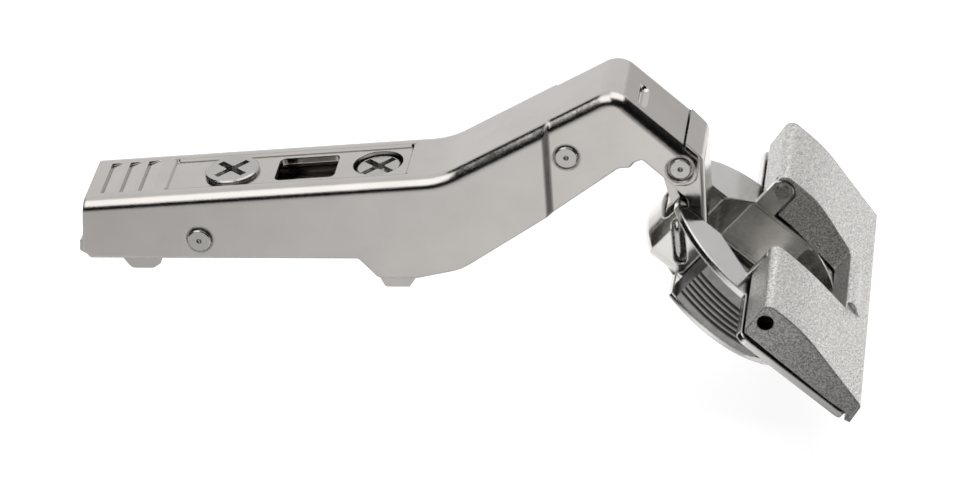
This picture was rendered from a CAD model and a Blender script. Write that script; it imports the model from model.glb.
import math

import bpy
from mathutils import Matrix, Vector

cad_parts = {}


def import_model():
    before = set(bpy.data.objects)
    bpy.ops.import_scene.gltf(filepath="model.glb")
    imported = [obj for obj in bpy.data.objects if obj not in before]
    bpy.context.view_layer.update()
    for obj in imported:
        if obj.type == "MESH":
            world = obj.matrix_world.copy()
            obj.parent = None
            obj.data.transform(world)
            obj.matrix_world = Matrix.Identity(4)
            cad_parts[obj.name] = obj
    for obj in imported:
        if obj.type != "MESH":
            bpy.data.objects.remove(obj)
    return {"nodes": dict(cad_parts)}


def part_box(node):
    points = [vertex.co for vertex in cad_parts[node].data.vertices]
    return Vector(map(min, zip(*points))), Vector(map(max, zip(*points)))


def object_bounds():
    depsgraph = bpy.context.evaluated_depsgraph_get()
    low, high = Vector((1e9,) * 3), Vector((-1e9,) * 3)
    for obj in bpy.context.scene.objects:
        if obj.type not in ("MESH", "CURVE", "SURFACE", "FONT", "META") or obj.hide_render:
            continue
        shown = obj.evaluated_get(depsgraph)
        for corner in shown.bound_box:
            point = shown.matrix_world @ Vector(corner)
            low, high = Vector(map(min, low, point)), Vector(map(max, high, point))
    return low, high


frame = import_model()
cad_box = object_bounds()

# A concealed cabinet hinge in satin nickel, on a pale floor. Its folds mirror
# the bright and dark cards of a small studio as white and black lines.
# Lengths are in metres. MM turns millimetres into metres.
MM = 0.001

# Places on the arm, those along X measured from its front pivot
pivot_low, pivot_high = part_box("front_pivot_pin")
PIVOT_X = (pivot_low.x + pivot_high.x) / 2
PEAK_X = PIVOT_X - 10.44 * MM   # top of the arm, where its folds are roundest
STEP_X = PIVOT_X - 22.3 * MM    # where the arm's walls draw in
FIELD_X = PIVOT_X - 67.65 * MM  # middle of the pressed field round the two screws
FIELD_REACH = 21.0 * MM         # half the field's length
FIELD_EDGE = 5.3 * MM           # its long edges, from the middle of the arm
FOLD_START = 5.9 * MM           # the folds along the arm lie outside this
WALL_SIDE = 7.5 * MM            # the outer faces of its walls lie outside this

# Places on the cup and its lever, in the cup's axes u, y and n
OPEN_TILT = math.radians(42.4)  # slope of the door below the rear of the arm
BORE_RADIUS = 17.5 * MM         # the tops of the jaws' ribs
LEVER_PIN_N = 5.7 * MM          # height of the lever's pin over the door
PIN_HOLE_RADIUS = 1.42 * MM
LEVER_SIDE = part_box("locking_lever")[1].y


# Colours

def linear(value):
    """A screen value from 0 to 1 as a linear one."""
    return value / 12.92 if value <= 0.04045 else ((value + 0.055) / 1.055) ** 2.4


def screen(red, green, blue):
    return (linear(red), linear(green), linear(blue), 1.0)


def grey(value):
    return (value, value, value, 1.0)


def dimmed(colour, share):
    return tuple(part * share for part in colour[:3]) + (1.0,)


# Shader nodes

def new_material(name):
    """A new material and its node tree."""
    material = bpy.data.materials.new(name)
    material.use_nodes = True
    return material, material.node_tree


def add(tree, kind, inputs, output=0, **settings):
    """Adds a node with its inputs linked or set, and gives back one output."""
    made = tree.nodes.new(kind)
    for key, value in settings.items():
        setattr(made, key, value)
    for key, value in inputs.items():
        if isinstance(value, bpy.types.NodeSocket):
            tree.links.new(value, made.inputs[key])
        else:
            made.inputs[key].default_value = value
    return made.outputs[output]


def ramp(tree, value, stops):
    """Turns value into a colour. A stop is a value from 0 to 1 and its colour."""
    made = tree.nodes.new("ShaderNodeValToRGB")
    elements = made.color_ramp.elements
    while len(elements) < len(stops):
        elements.new(0.5)
    for element, (position, colour) in zip(elements, stops):
        element.position = position
        element.color = colour
    tree.links.new(value, made.inputs["Fac"])
    return made.outputs["Color"]


def mixed(tree, share, first, second):
    return add(tree, "ShaderNodeMixShader", {0: share, 1: first, 2: second})


def show(tree, shader, output="Material Output"):
    tree.links.new(shader, tree.nodes[output].inputs["Surface"])


class Surface:
    """A material under construction, with short calls for the nodes it needs."""

    def __init__(self, name, metal=0.0):
        self.material, self.tree = new_material(name)
        self.shader = self.tree.nodes["Principled BSDF"]
        self.shader.inputs["Metallic"].default_value = metal
        self.place = add(self.tree, "ShaderNodeTexCoord", {}, "Object")

    def mapped(self, setting, value):
        """Object coordinates after a Scale or a Rotation."""
        return add(self.tree, "ShaderNodeMapping", {"Vector": self.place, setting: value})

    def split(self, vector):
        """The three parts of a vector."""
        made = self.tree.nodes.new("ShaderNodeSeparateXYZ")
        self.tree.links.new(vector, made.inputs[0])
        return list(made.outputs)

    def cup_axes(self):
        """Object coordinates turned into the cup's own axes: u, y and n."""
        return self.split(self.mapped("Rotation", (0, -OPEN_TILT, 0)))

    def noise(self, size=1.0, detail=3.0, rough=0.5, vector=None):
        """Noise over the object coordinates, or a vector, with blotches about size across."""
        place = self.place if vector is None else vector
        inputs = {"Vector": place, "Scale": 1.0 / size, "Detail": detail, "Roughness": rough}
        return add(self.tree, "ShaderNodeTexNoise", inputs, "Fac")

    def math(self, operation, *values):
        return add(self.tree, "ShaderNodeMath", dict(enumerate(values)), operation=operation)

    def length(self, first, second):
        """Distance from the origin of a point with these two parts."""
        squares = [self.math("MULTIPLY", part, part) for part in (first, second)]
        return self.math("SQRT", self.math("ADD", *squares))

    def ranged(self, value, start, end, at_start, at_end):
        """Turns start to end into at_start to at_end, and stays level outside."""
        inputs = {"Value": value, "From Min": start, "From Max": end,
                  "To Min": at_start, "To Max": at_end}
        return add(self.tree, "ShaderNodeMapRange", inputs, "Result")

    def near(self, value, place, start, end, at_place=1.0, away=0.0):
        """at_place out to start on both sides of place, turning into away at end."""
        off = self.math("ABSOLUTE", self.math("SUBTRACT", value, place))
        return self.ranged(off, start, end, at_place, away)

    def ramp(self, value, stops):
        return ramp(self.tree, value, stops)

    def blend(self, share, first, second):
        """Mixes two colours. The node has its colours at inputs 6 and 7 and output 2."""
        inputs = {0: share, 6: first, 7: second}
        return add(self.tree, "ShaderNodeMix", inputs, 2, data_type="RGBA")

    def bump(self, height, depth, under):
        """Adds bumps to the normals under them."""
        inputs = {"Strength": 1.0, "Distance": depth, "Height": height, "Normal": under}
        return add(self.tree, "ShaderNodeBump", inputs)

    def rounded(self, radius):
        """Normals that turn smoothly over an edge."""
        return add(self.tree, "ShaderNodeBevel", {"Radius": radius}, samples=6)

    def complete(self, colour, rough, normal=None):
        """Joins its looks to the shader, and gives back the material."""
        self.tree.links.new(colour, self.shader.inputs["Base Color"])
        self.tree.links.new(rough, self.shader.inputs["Roughness"])
        if normal is not None:
            self.tree.links.new(normal, self.shader.inputs["Normal"])
        return self.material


# Materials

def nickel(name, tint, rough, edge, details=None):
    """Nickel plated steel: faint clouds, a rolled grain along X and soft waves.

    rough is its least and most roughness, and edge the radius that its edges
    show. details, if given, changes the tone and the radius in places.
    """
    made = Surface(name, metal=1.0)
    clouds = made.noise(9 * MM, detail=4.0)
    tone = made.ramp(clouds, [(0.35, dimmed(tint, 0.94)), (0.65, tint)])
    if details is not None:
        tone, edge = details(made, tone, tint, edge)
    rolled = made.mapped("Scale", (120, 2600, 2600))
    grain = made.noise(detail=2.0, rough=0.6, vector=rolled)
    mottled = made.noise(0.9 * MM, rough=0.65)
    worn = made.math("MULTIPLY", grain, mottled)
    waves = made.bump(made.noise(5 * MM, detail=2.0), 0.05 * MM, made.rounded(edge))
    normal = made.bump(mottled, 0.008 * MM, waves)
    return made.complete(tone, made.ranged(worn, 0.12, 0.4, *rough), normal)


def arm_details(made, tone, tint, edge):
    """The arm is darker at the step in its walls and along its pressed field.

    Its long folds show the radius edge, and a larger one at the peak. What is
    pressed or cut into its top keeps crisp edges.
    """
    x, y = made.split(made.place)[:2]
    side = made.math("ABSOLUTE", y)
    on_wall = made.ranged(side, WALL_SIDE - 0.3 * MM, WALL_SIDE + 0.3 * MM, 0.0, 1.0)
    step = made.math("MULTIPLY", made.near(x, STEP_X, 0.45 * MM, 0.8 * MM), on_wall)
    tone = made.blend(step, tone, dimmed(tint, 0.42))

    along = made.near(x, FIELD_X, FIELD_REACH, FIELD_REACH + 0.3 * MM)
    across = made.near(side, FIELD_EDGE, 0.2 * MM, 0.35 * MM, at_place=0.6)
    tone = made.blend(made.math("MULTIPLY", across, along), tone, dimmed(tint, 0.2))

    crisp, at_peak = 0.2 * MM, 1.0 * MM
    along_fold = made.near(x, PEAK_X, 2 * MM, 5.5 * MM, at_place=at_peak, away=edge)
    on_fold = made.ranged(side, FOLD_START, FOLD_START + 0.5 * MM, 0.0, 1.0)
    fold = made.math("MULTIPLY", along_fold, on_fold)
    return tone, made.math("MAXIMUM", fold, crisp)


def cast_metal():
    """Bead blasted casting: fine bright and dark grains, with darker outer sides.

    The hole of its pin is nearly black.
    """
    made = Surface("cast_lever", metal=0.9)
    grains = made.noise(0.27 * MM, detail=2.0, rough=0.7)
    dark, bright = screen(0.56, 0.555, 0.545), screen(0.88, 0.875, 0.865)
    tone = made.ramp(grains, [(0.38, dark), (0.62, bright)])
    u, y, n = made.cup_axes()
    side = made.math("ABSOLUTE", y)
    outer = made.ranged(side, LEVER_SIDE - 0.4 * MM, LEVER_SIDE - 0.2 * MM, 0.0, 0.5)
    tone = made.blend(outer, tone, screen(0.3, 0.3, 0.295))
    from_pin = made.length(u, made.math("SUBTRACT", n, LEVER_PIN_N))
    hole = made.ranged(from_pin, PIN_HOLE_RADIUS - 0.05 * MM, PIN_HOLE_RADIUS, 1.0, 0.0)
    tone = made.blend(hole, tone, grey(0.004))
    normal = made.bump(grains, 0.03 * MM, made.rounded(0.5 * MM))
    return made.complete(tone, made.ranged(grains, 0.35, 0.65, 0.48, 0.34), normal)


def jaw_plastic():
    """Dark satin plastic with a light scuffed bloom, darker between its ribs."""
    made = Surface("jaw_plastic")
    bloom = made.noise(1.5 * MM, detail=4.0, rough=0.6)
    dark, bright = screen(0.5, 0.495, 0.485), screen(0.6, 0.595, 0.585)
    tone = made.ramp(bloom, [(0.3, dark), (0.75, bright)])
    u, y = made.cup_axes()[:2]
    rib_foot, rib_top = BORE_RADIUS - 0.35 * MM, BORE_RADIUS - 0.03 * MM
    sunk = made.ranged(made.length(u, y), rib_foot, rib_top, 1.0, 0.0)
    tone = made.blend(sunk, tone, screen(0.2, 0.2, 0.195))
    pores = made.noise(0.3 * MM, detail=2.0)
    normal = made.bump(pores, 0.006 * MM, made.rounded(0.15 * MM))
    return made.complete(tone, made.ranged(bloom, 0.3, 0.7, 0.38, 0.52), normal)


def spring_steel():
    """Drawn wire, a little darker than the plated parts."""
    made = Surface("spring_wire", metal=1.0)
    streaks = made.noise(0.4 * MM)
    dark, bright = screen(0.5, 0.5, 0.5), screen(0.68, 0.67, 0.66)
    tone = made.ramp(streaks, [(0.3, dark), (0.7, bright)])
    return made.complete(tone, made.ranged(streaks, 0.3, 0.7, 0.25, 0.4))


formed = nickel("nickel_formed", screen(0.735, 0.72, 0.705), (0.13, 0.2), 0.8 * MM, arm_details)
sheet = nickel("nickel_sheet", screen(0.72, 0.705, 0.69), (0.13, 0.2), 0.22 * MM)
drawn = nickel("nickel_drawn", screen(0.83, 0.825, 0.815), (0.12, 0.22), 0.5 * MM)
turned = nickel("nickel_turned", screen(0.70, 0.69, 0.68), (0.2, 0.32), 0.12 * MM)

FINISHES = [
    (formed, ["hinge_arm"]),
    (sheet, ["mounting_channel", "clip_lever", "outer_link", "inner_link"]),
    (drawn, ["hinge_cup"]),
    (turned, ["rear_guide_pin", "mid_rivet", "front_pivot_pin", "clip_lever_pin",
              "near_lever_pin", "far_lever_pin", "cup_axle_wire",
              "depth_cam_screw", "side_adjust_screw"]),
    (spring_steel(), ["clip_lever_spring", "closing_spring"]),
    (jaw_plastic(), ["near_jaw", "far_jaw"]),
    (cast_metal(), ["locking_lever"]),
]

for material, names in FINISHES:
    for name in names:
        slots = frame["nodes"][name].data.materials
        slots.clear()
        slots.append(material)


# Floor and world

def stage_mesh(name, corners, faces, material):
    """A mesh object that belongs to the room."""
    mesh = bpy.data.meshes.new(name)
    mesh.from_pydata(corners, [], faces)
    mesh.materials.append(material)
    made = bpy.data.objects.new(name, mesh)
    bpy.context.scene.collection.objects.link(made)
    return made


def flat(left, right, front, back, height):
    """The corners of a level rectangle."""
    return [(left, front, height), (right, front, height), (right, back, height), (left, back, height)]


def seen_white(tree, shader, white):
    """Shows white to the camera and in metal and glass, and shader to the rest."""
    path = tree.nodes.new("ShaderNodeLightPath")
    seen = path.outputs["Is Camera Ray"]
    for kind in ("Is Glossy Ray", "Is Transmission Ray"):
        either = {0: seen, 1: path.outputs[kind]}
        seen = add(tree, "ShaderNodeMath", either, operation="MAXIMUM")
    return mixed(tree, seen, shader, white)


def floor_paint():
    """White, with a faint shadow of the object."""
    paint, tree = new_material("floor_white")
    plain = tree.nodes["Principled BSDF"]
    plain.inputs["Base Color"].default_value = grey(0.8)
    plain.inputs["Roughness"].default_value = 0.9
    glow = add(tree, "ShaderNodeEmission", {"Strength": 0.86})
    shaded = add(tree, "ShaderNodeBsdfDiffuse", {"Color": grey(0.22)})
    white = add(tree, "ShaderNodeAddShader", {0: glow, 1: shaded})
    show(tree, seen_white(tree, plain.outputs[0], white))
    return paint


def world():
    made = bpy.data.worlds.new("studio")
    bpy.context.scene.world = made
    made.use_nodes = True
    tree = made.node_tree
    plain = tree.nodes["Background"]
    plain.inputs["Color"].default_value = grey(0.9)
    plain.inputs["Strength"].default_value = 0.6
    white = add(tree, "ShaderNodeBackground", {"Color": grey(1.0), "Strength": 1.0})
    show(tree, seen_white(tree, plain.outputs[0], white), "World Output")


# Studio cards

def dark_paint():
    paint, tree = new_material("card_dark")
    shader = tree.nodes["Principled BSDF"]
    shader.inputs["Base Color"].default_value = grey(0.01)
    shader.inputs["Specular IOR Level"].default_value = 0
    return paint


def bright_paint(strength):
    paint, tree = new_material("card_bright")
    show(tree, add(tree, "ShaderNodeEmission", {"Strength": strength}))
    return paint


def shade_paint():
    """Hides least of the floor below the front of the arm, and more towards both ends."""
    rear, front = -120 * MM, 40 * MM    # places 0 and 1 of the shares below, along X
    shares = [(0.0, 0.42), (0.62, 0.08), (0.7, 0.08), (0.8, 0.6)]
    paint, tree = new_material("card_shade")
    place = add(tree, "ShaderNodeTexCoord", {}, "Object")
    x = add(tree, "ShaderNodeSeparateXYZ", {0: place}, "X")
    along = add(tree, "ShaderNodeMapRange", {"Value": x, "From Min": rear, "From Max": front})
    hidden = ramp(tree, along, [(position, grey(share)) for position, share in shares])
    clear = add(tree, "ShaderNodeBsdfTransparent", {})
    black = add(tree, "ShaderNodeBsdfDiffuse", {"Color": grey(0.01)})
    show(tree, mixed(tree, hidden, clear, black))
    return paint


def card(name, corners, faces, paint):
    """A card that only shiny surfaces see."""
    made = stage_mesh(name, corners, faces, paint)
    made.visible_camera = False
    made.visible_diffuse = False
    made.visible_shadow = False


def studio_cards(floor_level):
    """Two softboxes overhead, with dark walls in front and on both sides.

    The folds of the sheet show a softbox as a white line, and the dark walls
    as a black one below it. The side behind the object stays white.
    """
    one_face = [(0, 1, 2, 3)]
    left, middle, right = -1.085, -0.1, 1.0     # sides of the two softboxes
    gap_front = -0.45                           # the right one starts further back
    high = 1.0
    softbox = bright_paint(2.0)
    card("softbox_front", flat(left, middle, -1.33, 0.08, high), one_face, softbox)
    card("softbox_back", flat(middle, right, gap_front, 0.75, high), one_face, softbox)

    foot = -0.035       # the walls start a little below the floor
    grey_top = 0.75
    grey_wall = [(0.7, 2.2, foot), (2.2, 0.9, foot), (2.2, 0.9, grey_top), (0.7, 2.2, grey_top)]
    card("grey_wall", grey_wall, one_face, bright_paint(0.72))
    shade = flat(-1.5, 0.3, -1.5, -0.02, floor_level + MM)
    card("floor_shade", shade, one_face, shade_paint())

    dark = dark_paint()
    wall, top = 1.6, 1.75       # how far away the dark walls are, and their height
    front_wall = [(-wall, -wall, foot), (wall, -wall, foot), (wall, -wall, top), (-wall, -wall, top)]
    card("front_wall", front_wall, one_face, dark)
    over = high + 0.01          # the side walls lean in to just above the softboxes
    for x, end, edge in ((-wall, 1.34, left), (wall, 1.12, right)):
        side_wall = [(x, -wall, foot), (x, end, foot), (x, end, top), (x, -wall, top),
                     (edge, end * 0.6, over), (edge, -wall, over)]
        card("side_wall", side_wall, [(0, 1, 2, 3), (3, 2, 4, 5)], dark)
    card("ceiling", flat(middle, right, -wall, gap_front, over + 0.01), one_face, dark)


# Lamps and camera

def lamp(name, place, target, size, power):
    """A soft lamp aimed at target, which shiny surfaces don't show."""
    light = bpy.data.lights.new(name, "AREA")
    light.shape = "RECTANGLE"
    light.size, light.size_y = size
    light.energy = power
    made = bpy.data.objects.new(name, light)
    bpy.context.scene.collection.objects.link(made)
    made.visible_glossy = False
    made.location = place
    made.rotation_mode = "QUATERNION"
    made.rotation_quaternion = (target - Vector(place)).to_track_quat("-Z", "Y")


def camera():
    """At the photograph's angle, found from the bends and pivots of the arm."""
    place = Vector((54.3, -638.4, 356.0)) * MM
    right = Vector((0.990, 0.122, -0.064)).normalized()
    forward = Vector((-0.138, 0.866, -0.481))
    forward = (forward - right * forward.dot(right)).normalized()
    up = right.cross(forward).normalized()
    data = bpy.data.cameras.new("camera")
    data.sensor_width = 36
    data.lens = 161.25
    data.clip_start = 0.01
    made = bpy.data.objects.new("camera", data)
    turn = Matrix((right, up, -forward)).transposed()
    made.matrix_world = Matrix.Translation(place) @ turn.to_4x4()
    bpy.context.scene.collection.objects.link(made)
    bpy.context.scene.camera = made


low, high = cad_box
centre = (low + high) / 2
floor_gap, floor_reach = 4 * MM, 6.0
floor_level = low.z - floor_gap
floor = flat(-floor_reach, floor_reach, -floor_reach, floor_reach, floor_level)
stage_mesh("floor", floor, [(0, 1, 2, 3)], floor_paint())
world()
studio_cards(floor_level)
camera()
lamp("top", place=(0, 0.33, 1.0), target=centre, size=(1.6, 0.9), power=24)
lamp("fill", place=(0.55, -0.5, 0.5), target=centre, size=(0.3, 0.3), power=1.5)
bpy.context.scene.view_settings.view_transform = "Standard"
